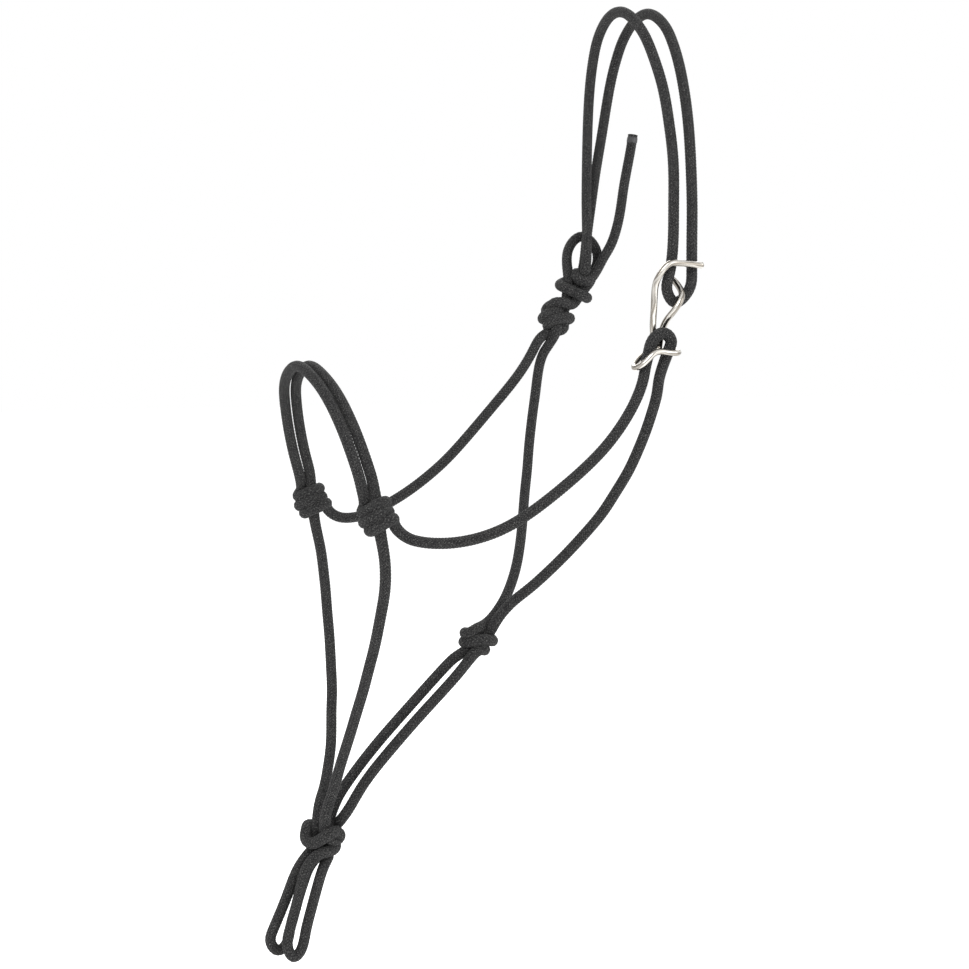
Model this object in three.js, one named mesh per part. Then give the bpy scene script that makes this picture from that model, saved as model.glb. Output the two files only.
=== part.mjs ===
// Rope halter for a horse, millimetres, +Z up.
// -X is the nose end, -Y the near (left) side with the buckle, +Y the far side.
// The origin is at the poll: mid width, on the underside of the crown rope.
import * as THREE from 'three';

// ---- driving dimensions -------------------------------------------------
const halterHeight = 716; // top of the crown to the bottom of the lead loops
const halterWidth = 180; // between the two cheek ropes at the buckle
const ropeDiameter = 8;
const wireDiameter = 4.8;
const ringWireDiameter = 4.3; // the collar round the two rope legs
const noseKnotRadius = 15;
const noseKnotHalfThickness = 13;
const cheekKnotSize = [15.5, 12, 12];
const sheetBendRadius = 17;
const sheetBendHalfThickness = 13;
const throatKnotSize = [14.5, 13, 14.5];
const fiadorKnotRadius = 17.5;
const fiadorKnotHalfThickness = 15;
const nosebandSpacing = ropeDiameter + 1; // between the centres of its two strands
const leadLoopSpacing = ropeDiameter + 2; // between the planes of the two loops
const tailTipLength = 7;
const tailTipDiameter = 8.8;
const meetingGap = 0.3; // between faces that touch
const hingeGap = 3; // between rope ends where the rope bends as a joint
const eyeClearance = 0.5; // between the far eye and the crown strand that passes it

// ---- the pattern the routes are drawn on --------------------------------
const patternHeight = 716;
const patternHalfWidth = 90;
const lengthRatio = halterHeight / patternHeight;
const patternRope = 8;
const widthRatio = halterWidth / (2 * patternHalfWidth);
const ropeRatio = ropeDiameter / patternRope;
const ropeGrowth = ropeDiameter - patternRope; // neighbouring ropes stand this much further apart

// A point of the pattern, stretched to the halter's overall sizes.
function station(x, y, z) {
  return new THREE.Vector3(x * lengthRatio, y * widthRatio, z * lengthRatio);
}

function route(points) {
  return points.map((point) => station(...point));
}

// The buckle is bought to suit the rope: its points grow with the rope about this anchor.
const buckleAnchor = station(-26, -90, -240);

function hardware(points) {
  return points.map(([x, y, z]) => {
    return new THREE.Vector3(x, y, z).multiplyScalar(ropeRatio).add(buckleAnchor);
  });
}

// ---- materials ----------------------------------------------------------
const ropeMaterial = new THREE.MeshStandardMaterial({ color: 0x33343a, roughness: 0.85, metalness: 0 });
const nickelMaterial = new THREE.MeshStandardMaterial({ color: 0xc9c5bd, roughness: 0.2, metalness: 1 });
const sealedMaterial = new THREE.MeshStandardMaterial({ color: 0x1c1c1f, roughness: 0.5, metalness: 0 });

const halter = new THREE.Group();

function addNode(name, geometry, material) {
  const mesh = new THREE.Mesh(geometry, material);
  mesh.name = name;
  halter.add(mesh);
  return mesh;
}

// ---- knots: closed lumps of the outer size of each drawn-up knot ---------
const knots = {};

function knot(name, centre, [rx, ry, rz]) {
  const lump = new THREE.SphereGeometry(1, 16, 10);
  const mesh = addNode(name, lump.scale(rx, ry, rz), ropeMaterial);
  mesh.position.copy(centre);
  knots[name] = { centre, size: [rx, ry, rz] };
}

const noseKnotSize = [noseKnotRadius, noseKnotHalfThickness, noseKnotRadius];
const sheetBendKnotSize = [sheetBendRadius, sheetBendHalfThickness, sheetBendRadius];
const fiadorKnotSize = [fiadorKnotRadius, fiadorKnotHalfThickness, fiadorKnotRadius];
knot('nose_knot_near', station(-240, -75, -366), noseKnotSize);
knot('nose_knot_far', station(-240, 75, -366), noseKnotSize);
knot('cheek_knot_far', station(-25, 90, -227.5), cheekKnotSize);
knot('sheet_bend', station(-8, 87.5, -201.5), sheetBendKnotSize);
knot('throat_knot', station(-132, 0, -471), throatKnotSize);
knot('fiador_knot', station(-257, 0, -609), fiadorKnotSize);

function clearOfKnot(point, knotName) {
  const { centre, size } = knots[knotName];
  const dx = (point.x - centre.x) / (size[0] + meetingGap);
  const dy = (point.y - centre.y) / (size[1] + meetingGap);
  const dz = (point.z - centre.z) / (size[2] + meetingGap);
  return dx * dx + dy * dy + dz * dz > 1;
}

// ---- ropes and wires ------------------------------------------------------
const ropeSides = 8;
const ropeStep = 17;

// Part of a smooth curve, between two shares of its length.
class Stretch extends THREE.Curve {
  constructor(whole, from, to) {
    super();
    this.whole = whole;
    this.from = from;
    this.to = to;
  }

  getPoint(t, target = new THREE.Vector3()) {
    return this.whole.getPointAt(this.from + (this.to - this.from) * t, target);
  }
}

function roundSection(diameter, sides) {
  const section = new THREE.Shape();
  for (let side = 0; side < sides; side++) {
    const angle = (2 * Math.PI * side) / sides;
    const x = (Math.cos(angle) * diameter) / 2;
    const y = (Math.sin(angle) * diameter) / 2;
    if (side === 0) section.moveTo(x, y);
    else section.lineTo(x, y);
  }
  section.closePath();
  return section;
}

function tube(curve, diameter, sides, step) {
  const steps = Math.max(3, Math.round(curve.getLength() / step));
  return new THREE.ExtrudeGeometry(roundSection(diameter, sides), {
    steps,
    bevelEnabled: false,
    extrudePath: curve,
  });
}

// The middle and the rim of the rope's round face at a share of its length.
function facePoints(curve, share) {
  const middle = curve.getPointAt(share);
  const along = curve.getTangentAt(share);
  const spoke = new THREE.Vector3(along.z, 0, -along.x);
  if (spoke.length() < 0.1) spoke.set(0, along.z, -along.y);
  spoke.setLength(ropeDiameter / 2);
  const points = [middle];
  for (let side = 0; side < ropeSides; side++) {
    spoke.applyAxisAngle(along, (2 * Math.PI) / ropeSides);
    points.push(middle.clone().add(spoke));
  }
  return points;
}

// Walks in from an end until the rope's whole face is clear of the knot there.
function clearShare(curve, knotName, fromEnd) {
  const count = 600;
  for (let i = 0; i <= count; i++) {
    const share = i / count;
    const face = facePoints(curve, fromEnd ? 1 - share : share);
    if (face.every((point) => clearOfKnot(point, knotName))) return share;
  }
  return 0;
}

// ends: a knot's name, a gap in mm, or nothing for a bare end.
function endShare(curve, end, fromEnd) {
  if (typeof end === 'string') return clearShare(curve, end, fromEnd);
  return (end ?? 0) / curve.getLength();
}

function smoothCurve(points) {
  const curve = new THREE.CatmullRomCurve3(points, false, 'centripetal');
  curve.arcLengthDivisions = 800;
  return curve;
}

function rope(name, points, startEnd, finishEnd, step = ropeStep) {
  const curve = smoothCurve(points);
  const from = endShare(curve, startEnd, false);
  const to = 1 - endShare(curve, finishEnd, true);
  const stretch = new Stretch(curve, from, to);
  addNode(name, tube(stretch, ropeDiameter, ropeSides, step), ropeMaterial);
  return stretch;
}

// ---- crown: two strands over the poll, one bight of rope ------------------
const pollGap = hingeGap / 2;
const frontTop = [-18, 0, 4];
const rearTop = [6, 0, 4];
const crownFrontFar = route([
  frontTop, [-17.5, 18, 0], [-16.5, 33, -10], [-15, 43, -21], [-13, 53, -38], [-10.5, 62, -60],
  [-8.5, 68, -86], [-7, 72, -114], [-6, 74, -140], [-5, 75, -162], [-5, 76, -190],
]);
const crownRearFar = route([
  rearTop, [6, 18, 0], [6, 34, -10], [6, 44, -21], [6, 54, -37], [6, 63, -58],
  [5.5, 71, -83], [4, 78, -110], [2, 82, -136], [-1, 83.5, -162], [-3, 85, -190],
]);
rope('crown_front_far', crownFrontFar, pollGap, 'sheet_bend');
rope('crown_rear_far', crownRearFar, pollGap, 'sheet_bend');

// The near half is one curve, cut where the bight on the buckle's tongue begins and ends.
const bightStart = hardware([[9.3, 4, 46]])[0];
const bightFinish = hardware([[27.5, 4, 46]])[0];
const bightTurn = hardware([[5.8, 2, 36], [7.2, 2, 29], [12.8, 2, 23.7], [20.5, 2, 28], [25.5, 2, 36]]);
const crownFrontNear = route([
  frontTop, [-17.5, -18, 0], [-16.5, -33, -10], [-15, -43, -21], [-13, -53, -38], [-10.5, -62, -60],
  [-8.5, -68, -86], [-7, -72, -114], [-8, -75, -145], [-11.5, -81, -172],
]);
const crownRearNear = route([
  [3, -83, -172], [4, -81, -145], [4, -78, -110], [5.5, -71, -83], [6, -63, -58],
  [6, -54, -37], [6, -44, -21], [6, -34, -10], [6, -18, 0], rearTop,
]);
const crownNear = smoothCurve([
  ...crownFrontNear, bightStart, ...bightTurn, bightFinish, ...crownRearNear,
]);

function shareNearest(curve, target) {
  const count = 2000;
  let best = 0;
  for (let i = 1; i <= count; i++) {
    const nearer = curve.getPointAt(i / count).distanceTo(target);
    if (nearer < curve.getPointAt(best).distanceTo(target)) best = i / count;
  }
  return best;
}

const halfGapShare = meetingGap / 2 / crownNear.getLength();
const pollGapShare = pollGap / crownNear.getLength();
const cutFront = shareNearest(crownNear, bightStart);
const cutRear = shareNearest(crownNear, bightFinish);
for (const [name, from, to, step] of [
  ['crown_front_near', pollGapShare, cutFront - halfGapShare, ropeStep],
  ['crown_bight', cutFront + halfGapShare, cutRear - halfGapShare, 6],
  ['crown_rear_near', cutRear + halfGapShare, 1 - pollGapShare, ropeStep],
]) {
  const stretch = new Stretch(crownNear, from, to);
  addNode(name, tube(stretch, ropeDiameter, ropeSides, step), ropeMaterial);
}

// ---- far side: eye of the cheek rope, and the crown's free tail -----------
const eyePlane = station(0, 83.5, 0).y + ropeDiameter + eyeClearance;
const farEye = route([
  [-15, 0, -200], [-15.5, 0, -184], [-13.5, 0, -172], [-8, 0, -164], [-1, 0, -161],
  [6, 0, -164], [11.5, 0, -171], [13, 0, -180], [9, 0, -192], [4, 0, -200],
]).map((point) => point.setY(eyePlane));
rope('cheek_eye_far', farEye, 'sheet_bend', 'sheet_bend', 8);

const tail = route([
  [3, 84, -199], [8.5, 83, -188], [14, 82.5, -178], [20, 83, -169], [26, 85, -157],
  [31.5, 88, -141], [36, 91, -122], [40, 92.5, -105], [43.5, 93, -89], [45.5, 93, -77],
]);
const tailStretch = rope('tail', tail, 'sheet_bend', tailTipLength + meetingGap);

function tailTip() {
  const radius = tailTipDiameter / 2;
  const profile = [
    [0, 0], [radius - 0.4, 0], [radius, 1.2], [radius, 4.2],
    [radius * 0.8, 6], [radius * 0.45, 6.8], [0, tailTipLength],
  ].map(([r, h]) => new THREE.Vector2(r, h));
  const mesh = addNode('tail_tip', new THREE.LatheGeometry(profile, 16), sealedMaterial);
  const along = tailStretch.getPoint(1).sub(tailStretch.getPoint(0.98)).normalize();
  mesh.position.copy(tailStretch.getPoint(1)).addScaledVector(along, meetingGap);
  mesh.quaternion.setFromUnitVectors(new THREE.Vector3(0, 1, 0), along);
}
tailTip();

// ---- cheek and throat ropes ----------------------------------------------
rope('cheek_rope_far', route([
  [-26, 90, -228], [-37, 90, -239], [-45.5, 90, -253], [-58, 90, -272], [-84, 89.5, -301],
  [-115, 88.5, -333], [-134, 87, -349], [-155, 85, -363], [-174, 83, -373], [-192, 80.5, -380],
  [-213, 78, -382], [-228, 76, -376], [-240, 75, -366],
]), 'cheek_knot_far', 'nose_knot_far');

rope('throat_rope_far', route([
  [-26 + ropeGrowth, 90, -228], [-27.5 + ropeGrowth, 90, -242], [-36 + ropeGrowth, 90, -255],
  [-41 + ropeGrowth, 90, -270], [-44, 88.5, -286],
  [-47.5, 86, -302], [-51, 83, -318], [-55, 78, -334], [-59, 72, -349], [-64, 65, -365],
  [-69, 57, -380], [-74.5, 48, -395], [-81, 38, -409], [-89, 27.5, -423], [-99, 17.5, -437],
  [-110, 10, -449], [-132, 4, -471],
]), 'cheek_knot_far', 'throat_knot');

// Both near ropes are the legs of one eye; they bend below the collar.
const legFront = [-14, 0, -32];
const legRear = [-1, 0, -32];
const eyeNear = hardware([
  legFront, [-12, 0, -22], [-9.5, 0, -12], [-7, 0, -5], [-1, 0, 0.5], [5, 0, 0.3],
  [8.6, 0, -4.5], [7.2, 0, -10], [4.6, 0, -16], [2.2, 0, -22], legRear,
]);
rope('cheek_eye_near', eyeNear, pollGap, pollGap, 7);

rope('cheek_rope_near', hardware([legFront]).concat(route([
  [-44, -90, -283], [-50.5, -90, -295], [-60, -90, -308.5], [-72.5, -90, -322.5], [-89, -90, -337],
  [-107, -89, -351], [-129, -88, -366], [-151, -86, -377.5], [-174, -83.5, -384], [-195, -81, -385.5],
  [-211, -79, -383.5], [-222, -77, -379], [-240, -75, -366],
])), pollGap, 'nose_knot_near');

rope('throat_rope_near', hardware([legRear]).concat(route([
  [-28.5, -89.5, -283], [-31.5, -88, -296], [-35, -85, -310], [-39.5, -81, -325], [-44, -75, -340],
  [-49.5, -67, -355], [-56, -58, -371], [-64, -48, -386], [-74, -37, -402], [-86, -26.5, -418],
  [-98.5, -16.5, -432.5], [-110, -9.5, -444], [-132, -4, -471],
])), pollGap, 'throat_knot');

// ---- fiador lines and chin ropes -------------------------------------------
for (const [side, y, lean] of [['near', -5, 2.6], ['far', 5, -2.6]]) {
  rope(`fiador_line_${side}`, route([
    [-132 + lean, y * 0.9, -471], [-153 + lean, y, -492 - lean], [-181 + lean, y, -519 - lean],
    [-209 + lean, y, -547 - lean], [-230 + lean, y, -571 - lean], [-244 + lean, y, -592 - lean],
    [-253, y * 0.6, -609],
  ]), 'throat_knot', 'fiador_knot');
}

rope('chin_rope_far', route([
  [-240, 75, -366], [-237, 75, -384], [-233, 74, -404], [-231, 73, -421], [-230, 71, -437],
  [-230, 67.5, -452], [-230, 63.5, -467], [-230.5, 59, -482], [-231.5, 54, -496], [-233, 48, -511],
  [-235.5, 42, -525], [-238, 35, -539], [-241, 28.5, -552], [-245.5, 22, -565.5], [-252, 14, -580],
  [-259, 9.5, -595], [-260, 7, -609],
]), 'nose_knot_far', 'fiador_knot');

rope('chin_rope_near', route([
  [-240, -75, -366], [-236, -75, -384], [-233.5, -74, -401], [-233, -71.5, -418], [-234, -68, -432],
  [-235.5, -64, -447], [-237, -59, -462], [-239, -53.5, -477], [-241, -48, -492], [-243.5, -41.5, -508],
  [-246, -35, -524], [-248.5, -28, -540], [-251, -20.5, -557], [-254, -13.5, -576],
  [-259, -9, -594], [-260, -7, -609],
]), 'nose_knot_near', 'fiador_knot');

// ---- noseband: two strands side by side over the nose ----------------------
const nosebandMiddle = [
  [-242, 74, -366], [-244, 72, -353], [-249, 70, -336], [-256, 64, -312], [-262, 54, -289],
  [-265.5, 42, -276], [-267, 24, -266], [-266.5, 4, -262.5], [-264, -14, -267.5],
  [-260, -31, -278.5], [-256.5, -45, -292], [-253, -57, -308], [-249.5, -65, -324],
  [-246, -71, -341], [-244, -73, -354], [-242, -74, -366],
];
for (const [strand, side] of [['front', -1], ['rear', 1]]) {
  const offset = (side * nosebandSpacing) / 2;
  const points = route(nosebandMiddle).map((point) => point.setX(point.x + offset));
  rope(`noseband_${strand}`, points, 'nose_knot_far', 'nose_knot_near');
}

// ---- lead loops under the fiador knot ---------------------------------------
const loopPlane = leadLoopSpacing / 2;
const leadLoopFar = [
  [-262, -609], [-268, -622], [-276, -636], [-282, -650], [-288, -664], [-294, -677], [-296, -686],
  [-290.5, -693], [-284, -689], [-281, -678], [-277, -664], [-272.5, -650], [-266, -632], [-258, -609],
];
const leadLoopNear = [
  [-260, -609], [-269.5, -626], [-275.5, -644], [-280, -661], [-284.5, -676], [-286, -688],
  [-281.5, -696], [-276, -692], [-272, -678], [-268, -663], [-263, -646], [-257.5, -628], [-252, -609],
];
for (const [side, y, outline] of [['near', -loopPlane, leadLoopNear], ['far', loopPlane, leadLoopFar]]) {
  const points = outline.map(([x, z]) => station(x, 0, z).setY(y));
  rope(`lead_loop_${side}`, points, 'fiador_knot', 'fiador_knot', 8);
}

// ---- buckle: bent nickel-plated wire ---------------------------------------
function wire(name, points, diameter) {
  const curve = new THREE.CatmullRomCurve3(points, false, 'centripetal');
  curve.arcLengthDivisions = 400;
  addNode(name, tube(curve, diameter, ropeSides, 3.2), nickelMaterial);
}

// Top bar in front of the crown, spine, turn inside the rope eye, then the tongue.
wire('buckle_hook', hardware([
  [33, -3.5, 50.5], [19, -3.5, 51.5], [9, -3.5, 52], [4.5, -3.2, 51], [-1, -1.5, 44.7], [-3.9, 0.5, 37.3],
  [-4.2, 2, 30], [-3.8, 3.5, 20], [-2.9, 6.5, 8], [-2.2, 7.3, 0], [-1.2, 6.2, -6], [0.2, 4, -9.6],
  [2.6, 6.2, -6], [4.3, 7.3, 0], [5.4, 6, 6], [6.2, 1.5, 11.5], [7.6, -3.5, 16], [11.1, -6.5, 22.5],
  [14.5, -4.8, 28.2], [16.2, 1, 33.6], [15.6, 6, 37.8], [14.6, 10.5, 41],
]), wireDiameter);

// Flattened ring round both legs, cranked down on the nose side, butted at the back.
wire('buckle_collar', hardware([
  [3, 9.2, -12], [11, 8, -11], [14, 1, -11.7], [9.8, -7.3, -13], [2, -8, -12.5], [-8, -8, -12.5],
  [-13, -7.5, -16.5], [-18, -5, -21.5], [-20.6, 0, -23.7], [-18, 5.5, -21.5], [-12, 8.5, -16.5],
  [-5, 9.3, -13.4], [2.6, 9.2, -12.1],
]), ringWireDiameter);

export default halter;
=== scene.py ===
"""Rope halter: charcoal braided rope, knots and a bent-wire buckle, around the CAD frame.

Every rope is a numpy tube swept along its centreline, with the crowns of its braided yarns
raised in the mesh. A knot's strands are settled by a small bead-chain simulation, so that they
lie against each other. The far cheek knot is drawn tight from a loose doubled overhand. The
others start from courses laid out strand by strand: in the nose and throat knots one strand
winds round a straight one, which shows their outside and isn't how such a knot is tied inside.
"""
import math

import bpy
import numpy as np
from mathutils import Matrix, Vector


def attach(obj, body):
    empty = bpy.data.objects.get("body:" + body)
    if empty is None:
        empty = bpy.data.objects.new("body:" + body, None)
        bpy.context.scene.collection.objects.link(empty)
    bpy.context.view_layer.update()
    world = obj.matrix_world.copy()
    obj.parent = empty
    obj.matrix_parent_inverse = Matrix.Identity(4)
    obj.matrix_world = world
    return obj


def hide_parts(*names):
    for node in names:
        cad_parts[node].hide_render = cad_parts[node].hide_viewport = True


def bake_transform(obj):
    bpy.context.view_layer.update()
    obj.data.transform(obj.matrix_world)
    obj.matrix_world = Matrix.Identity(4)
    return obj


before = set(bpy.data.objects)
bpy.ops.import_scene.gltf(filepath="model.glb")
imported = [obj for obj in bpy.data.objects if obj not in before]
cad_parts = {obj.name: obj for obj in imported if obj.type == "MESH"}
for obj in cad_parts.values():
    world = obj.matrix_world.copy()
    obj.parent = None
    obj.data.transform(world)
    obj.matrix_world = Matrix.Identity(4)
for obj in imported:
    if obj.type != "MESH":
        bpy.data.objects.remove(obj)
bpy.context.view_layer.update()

# ---- sizes, in metres ------------------------------------------------------
ROPE = 0.008
WIRE = 0.0048
RING_WIRE = 0.0043
WIRE_STEP = 0.0006
WIRE_SIDES = 32
WIRE_END = 0.35  # length of a wire's rounded end, in wire diameters
SMALLEST_END = 0.04  # where the rounding stops, as a share of that length
KNOT_FULLNESS = 0.13  # how much thicker the braid gets at a knot's centre
KNOT_REACH = 0.016
NOSEBAND_SPACING = 0.009
YARNS_EACH_WAY = 12
YARN_PITCH = 0.0025  # along the rope, from one yarn to the next
YARN_RELIEF = 0.00042
MEAN_YARN_HEIGHT = 0.75
ROPE_SIDES = 48
ROPE_STEP = 0.00056
LINE_STEP = 0.001
BUCKLE_ANCHOR = np.array([-0.026, -0.090, -0.240])

# ---- camera: near side seen from ahead, a little above ----------------------
VIEW_AZIMUTH = math.radians(-23)
VIEW_ELEVATION = math.radians(5)
VIEW_DISTANCE = 1.4
LOOK_AT = Vector((-0.1268, 0.0, -0.3528))
LENS = 68.9
SENSOR = 36.0


def add_camera():
    back = Vector((
        math.sin(VIEW_AZIMUTH) * math.cos(VIEW_ELEVATION),
        -math.cos(VIEW_AZIMUTH) * math.cos(VIEW_ELEVATION),
        math.sin(VIEW_ELEVATION),
    ))
    data = bpy.data.cameras.new("camera")
    data.lens = LENS
    data.sensor_width = SENSOR
    data.clip_end = 50
    camera = bpy.data.objects.new("camera", data)
    camera.location = LOOK_AT + back * VIEW_DISTANCE
    camera.rotation_euler = back.to_track_quat("Z", "Y").to_euler()
    bpy.context.collection.objects.link(camera)
    bpy.context.scene.camera = camera


# ---- routes, in millimetres as drawn ----------------------------------------
def mm(points):
    return np.array(points, float) / 1000


def from_buckle(points):
    return mm(points) + BUCKLE_ANCHOR


CROWN_FRONT_FAR = mm([
    [-18, 0, 4], [-17.5, 18, 0], [-16.5, 33, -10], [-15, 43, -21], [-13, 53, -38], [-10.5, 62, -60],
    [-8.5, 68, -86], [-7, 72, -114], [-6, 74, -140], [-5, 75, -162], [-5, 76, -190],
])
CROWN_REAR_FAR = mm([
    [6, 0, 4], [6, 18, 0], [6, 34, -10], [6, 44, -21], [6, 54, -37], [6, 63, -58],
    [5.5, 71, -83], [4, 78, -110], [2, 82, -136], [-1, 83.5, -162], [-3, 85, -190],
])
CROWN_FRONT_NEAR = mm([
    [-17.5, -18, 0], [-16.5, -33, -10], [-15, -43, -21], [-13, -53, -38], [-10.5, -62, -60],
    [-8.5, -68, -86], [-7, -72, -114], [-8, -75, -145], [-11.5, -81, -172],
])
CROWN_BIGHT = from_buckle([
    [9.3, 4, 46], [5.8, 2, 36], [7.2, 2, 29], [12.8, 2, 23.7], [20.5, 2, 28], [25.5, 2, 36], [27.5, 4, 46],
])
CROWN_REAR_NEAR = mm([
    [3, -83, -172], [4, -81, -145], [4, -78, -110], [5.5, -71, -83], [6, -63, -58],
    [6, -54, -37], [6, -44, -21], [6, -34, -10], [6, -18, 0],
])
FAR_EYE = mm([
    [-15, 92, -200], [-15.5, 92, -184], [-13.5, 92, -172], [-8, 92, -164], [-1, 92, -161],
    [6, 92, -164], [11.5, 92, -171], [13, 92, -180], [9, 92, -192], [4, 92, -200],
])
TAIL = mm([
    [3, 84, -199], [8.5, 83, -188], [14, 82.5, -178], [20, 83, -169], [26, 85, -157],
    [31.5, 88, -141], [36, 91, -122], [40, 92.5, -105], [43.5, 93, -89], [45.5, 93, -77],
])
CHEEK_FAR = mm([
    [-26, 90, -228], [-37, 90, -239], [-45.5, 90, -253], [-58, 90, -272], [-84, 89.5, -301],
    [-115, 88.5, -333], [-134, 87, -349], [-155, 85, -363], [-174, 83, -373], [-192, 80.5, -380],
    [-213, 78, -382], [-228, 76, -376], [-240, 75, -366],
])
THROAT_FAR = mm([
    [-26, 90, -228], [-27.5, 90, -242], [-36, 90, -255], [-41, 90, -270], [-44, 88.5, -286],
    [-47.5, 86, -302], [-51, 83, -318], [-55, 78, -334], [-59, 72, -349], [-64, 65, -365],
    [-69, 57, -380], [-74.5, 48, -395], [-81, 38, -409], [-89, 27.5, -423], [-99, 17.5, -437],
    [-110, 10, -449], [-132, 4, -471],
])
CHEEK_NEAR = mm([
    [-240, -75, -366], [-222, -77, -379], [-211, -79, -383.5], [-195, -81, -385.5],
    [-174, -83.5, -384], [-151, -86, -377.5], [-129, -88, -366], [-107, -89, -351],
    [-89, -90, -337], [-72.5, -90, -322.5], [-60, -90, -308.5], [-50.5, -90, -295], [-44, -90, -283],
])
EYE_NEAR = from_buckle([
    [-14, 0, -32], [-12, 0, -22], [-9.5, 0, -12], [-7, 0, -5], [-1, 0, 0.5], [5, 0, 0.3],
    [8.6, 0, -4.5], [7.2, 0, -10], [4.6, 0, -16], [2.2, 0, -22], [-1, 0, -32],
])
THROAT_NEAR = mm([
    [-28.5, -89.5, -283], [-31.5, -88, -296], [-35, -85, -310], [-39.5, -81, -325],
    [-44, -75, -340], [-49.5, -67, -355], [-56, -58, -371], [-64, -48, -386], [-74, -37, -402],
    [-86, -26.5, -418], [-98.5, -16.5, -432.5], [-110, -9.5, -444], [-132, -4, -471],
])
CHIN_FAR = mm([
    [-240, 75, -366], [-237, 75, -384], [-233, 74, -404], [-231, 73, -421], [-230, 71, -437],
    [-230, 67.5, -452], [-230, 63.5, -467], [-230.5, 59, -482], [-231.5, 54, -496], [-233, 48, -511],
    [-235.5, 42, -525], [-238, 35, -539], [-241, 28.5, -552], [-245.5, 22, -565.5], [-252, 14, -580],
    [-259, 9.5, -595], [-260, 7, -609],
])
CHIN_NEAR = mm([
    [-240, -75, -366], [-236, -75, -384], [-233.5, -74, -401], [-233, -71.5, -418], [-234, -68, -432],
    [-235.5, -64, -447], [-237, -59, -462], [-239, -53.5, -477], [-241, -48, -492], [-243.5, -41.5, -508],
    [-246, -35, -524], [-248.5, -28, -540], [-251, -20.5, -557], [-254, -13.5, -576],
    [-259, -9, -594], [-260, -7, -609],
])
NOSEBAND = mm([
    [-242, 74, -366], [-244, 72, -353], [-249, 70, -336], [-256, 64, -312], [-262, 54, -289],
    [-265.5, 42, -276], [-267, 24, -266], [-266.5, 4, -262.5], [-264, -14, -267.5],
    [-260, -31, -278.5], [-256.5, -45, -292], [-253, -57, -308], [-249.5, -65, -324],
    [-246, -71, -341], [-244, -73, -354], [-242, -74, -366],
])
LEAD_LOOP_FAR = mm([
    [-262, 5, -609], [-268, 5, -622], [-276, 5, -636], [-282, 5, -650], [-288, 5, -664],
    [-294, 5, -677], [-296, 5, -686], [-290.5, 5, -693], [-284, 5, -689], [-281, 5, -678],
    [-277, 5, -664], [-272.5, 5, -650], [-266, 5, -632], [-258, 5, -609],
])
LEAD_LOOP_NEAR = mm([
    [-260, -5, -609], [-269.5, -5, -626], [-275.5, -5, -644], [-280, -5, -661], [-284.5, -5, -676],
    [-286, -5, -688], [-281.5, -5, -696], [-276, -5, -692], [-272, -5, -678], [-268, -5, -663],
    [-263, -5, -646], [-257.5, -5, -628], [-252, -5, -609],
])


def fiador_line(side, lean):
    """One of the two lines from the throat knot to the fiador knot."""
    return mm([
        [-132 + lean, side * 4.5, -471], [-153 + lean, side * 5, -492 - lean],
        [-181 + lean, side * 5, -519 - lean], [-209 + lean, side * 5, -547 - lean],
        [-230 + lean, side * 5, -571 - lean], [-244 + lean, side * 5, -592 - lean],
        [-253, side * 3, -609],
    ])


EYE_CENTRE = from_buckle([[-1, 0, -4]])[0]
HOOK = from_buckle([
    [33, -3.5, 50.5], [19, -3.5, 51.5], [9, -3.5, 52], [4.5, -3.2, 51], [-1, -1.5, 44.7], [-3.9, 0.5, 37.3],
    [-4.2, 2, 30], [-3.8, 3.5, 20], [-2.9, 6.5, 8], [-2.2, 7.3, 0], [-1.2, 6.2, -6], [0.2, 4, -9.6],
    [2.6, 6.2, -6], [4.3, 7.3, 0], [5.4, 6, 6], [6.2, 1.5, 11.5], [7.6, -3.5, 16], [11.1, -6.5, 22.5],
    [14.5, -4.8, 28.2], [16.2, 1, 33.6], [15.6, 6, 37.8], [14.6, 10.5, 41],
])
COLLAR = from_buckle([
    [3, 9.2, -12], [11, 8, -11], [14, 1, -11.7], [9.8, -7.3, -13], [2, -8, -12.5], [-8, -8, -12.5],
    [-13, -7.5, -16.5], [-18, -5, -21.5], [-20.6, 0, -23.7], [-18, 5.5, -21.5], [-12, 8.5, -16.5],
    [-5, 9.3, -13.4], [2.6, 9.2, -12.1],
])

KNOTS = {
    "nose_near": mm([-240, -75, -366]),
    "nose_far": mm([-240, 75, -366]),
    "cheek": mm([-25, 90, -227.5]),
    "bend": mm([-8, 87.5, -201.5]),
    "throat": mm([-132, 0, -471]),
    "fiador": mm([-257, 0, -609]),
}


# ---- curves -------------------------------------------------------------------
def smooth_line(points, step):
    """Natural cubic spline through the points, on the square root of the chord, evenly respaced.

    The second derivatives M solve h[i-1] M[i-1] + 2 (h[i-1] + h[i]) M[i] + h[i] M[i+1] = 6 (slope change)."""
    points = np.asarray(points, float)
    knots_at = np.concatenate([[0], np.cumsum(np.sqrt(np.linalg.norm(np.diff(points, axis=0), axis=1)))])
    h = np.diff(knots_at)
    count = len(points)
    system = np.eye(count)
    change = np.zeros((count, 3))
    inner = np.arange(1, count - 1)
    system[inner, inner - 1] = h[:-1]
    system[inner, inner] = 2 * (h[:-1] + h[1:])
    system[inner, inner + 1] = h[1:]
    slopes = np.diff(points, axis=0) / h[:, None]
    change[1:-1] = 6 * np.diff(slopes, axis=0)
    moment = np.linalg.solve(system, change)
    at = np.linspace(0, knots_at[-1], 40 * count)
    i = np.clip(np.searchsorted(knots_at, at, side="right") - 1, 0, count - 2)
    before = (knots_at[i + 1] - at)[:, None]
    after = (at - knots_at[i])[:, None]
    width = h[i][:, None]
    curve = (
        moment[i] * before ** 3 / (6 * width) + moment[i + 1] * after ** 3 / (6 * width)
        + (points[i] / width - moment[i] * width / 6) * before
        + (points[i + 1] / width - moment[i + 1] * width / 6) * after
    )
    return respaced(curve, step)


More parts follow.
